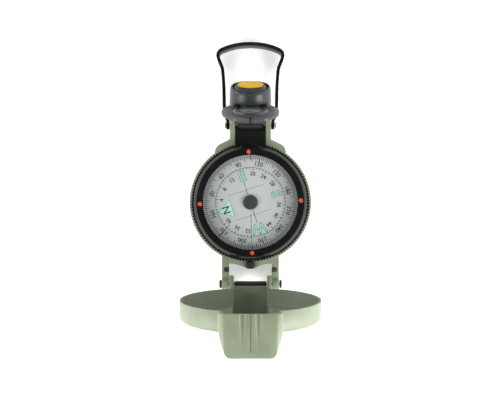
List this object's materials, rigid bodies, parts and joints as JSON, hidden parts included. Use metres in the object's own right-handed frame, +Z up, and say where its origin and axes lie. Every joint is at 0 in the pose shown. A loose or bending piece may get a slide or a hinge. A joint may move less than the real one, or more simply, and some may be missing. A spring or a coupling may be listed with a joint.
{
  "type": "sighting compass",
  "caption": "Folding sighting compass: olive case with a hinged lid, turning toothed bezel, floating dial, rear lens sight with a small lamp, and a thumb loop.",
  "frame": {"origin": "centre of the round flat foot under the base, below the dial's centre", "axes": "+Z up out of the dial, +Y to the rear sight and thumb loop, -Y to the lid's hinge, +X right"},
  "size_m": [0.0606, 0.1381, 0.0834],
  "materials": {
    "olive_plastic": "satin",
    "black_gloss": "gloss",
    "black_plastic": "satin",
    "grey_plastic": "satin",
    "black_rubber": "matte",
    "bright_steel": "polished",
    "dark_steel": "gloss black",
    "card_print": "printed",
    "clear": "clear",
    "orange_paint": "gloss",
    "yellow_plastic": "satin",
    "brass": "worn"
  },
  "bodies": {
    "case": {"base_shell": "olive_plastic", "lid_bumper_left": "black_rubber", "lid_bumper_right": "black_rubber", "index_lug": "black_plastic", "channel_liner": "black_rubber", "bezel_click_spring": "bright_steel", "lid_pin": "black_plastic", "lid_pin_cap": "black_plastic", "rear_pin": "brass", "rear_pin_cap": "brass", "capsule_cup": "card_print", "capsule_glass": "clear", "card_pivot": "bright_steel"},
    "lid": {"lid_shell": "olive_plastic", "lid_sleeve": "black_plastic"},
    "floating_card": {"dial_card": "card_print", "card_hub": "black_plastic", "pivot_jewel": "clear", "card_magnet": "dark_steel"},
    "bezel": {"bezel_ring": "black_gloss", "bezel_glass": "clear", "bezel_mark_1": "orange_paint", "bezel_mark_2": "orange_paint", "bezel_mark_3": "orange_paint", "bezel_mark_4": "orange_paint"},
    "sight": {"sight_frame": "grey_plastic", "sight_lens": "clear", "lamp_led": "clear", "lamp_board": "black_plastic", "coin_cell": "bright_steel", "contact_leaf": "brass"},
    "battery_cap": {"lamp_cap": "grey_plastic"},
    "button": {"lamp_button": "yellow_plastic"},
    "loop": {"thumb_loop": "dark_steel"}
  },
  "joints": [
    {"name": "lid_hinge", "type": "hinge", "parent": "case", "child": "lid", "pos_m": [0, -0.0408, 0.0083], "axis": [1, 0, 0], "range_deg": [-90, 90]},
    {"name": "card_spin", "type": "hinge", "parent": "case", "child": "floating_card", "pos_m": [0, 0, 0.0104], "axis": [0, 0, 1], "continuous": true},
    {"name": "bezel_turn", "type": "hinge", "parent": "case", "child": "bezel", "pos_m": [0, 0, 0.0088], "axis": [0, 0, 1], "continuous": true},
    {"name": "sight_tilt", "type": "hinge", "parent": "case", "child": "sight", "pos_m": [0, 0.039, 0.0045], "axis": [1, 0, 0], "range_deg": [-45, 63]},
    {"name": "lamp_cap_turn", "type": "hinge", "parent": "sight", "child": "battery_cap", "pos_m": [0, 0.04738, 0.01601], "axis": [0, 0.8988, 0.4384], "range_deg": [0, 30]},
    {"name": "button_press", "type": "slide", "parent": "sight", "child": "button", "axis": [0, -0.8988, -0.4384], "range_m": [0, 0.0005], "stiffness_N_per_m": 400, "springref_m": -0.0005},
    {"name": "loop_fold", "type": "hinge", "parent": "case", "child": "loop", "pos_m": [0, 0.039, 0.0045], "axis": [1, 0, 0], "range_deg": [-125, 0]}
  ]
}
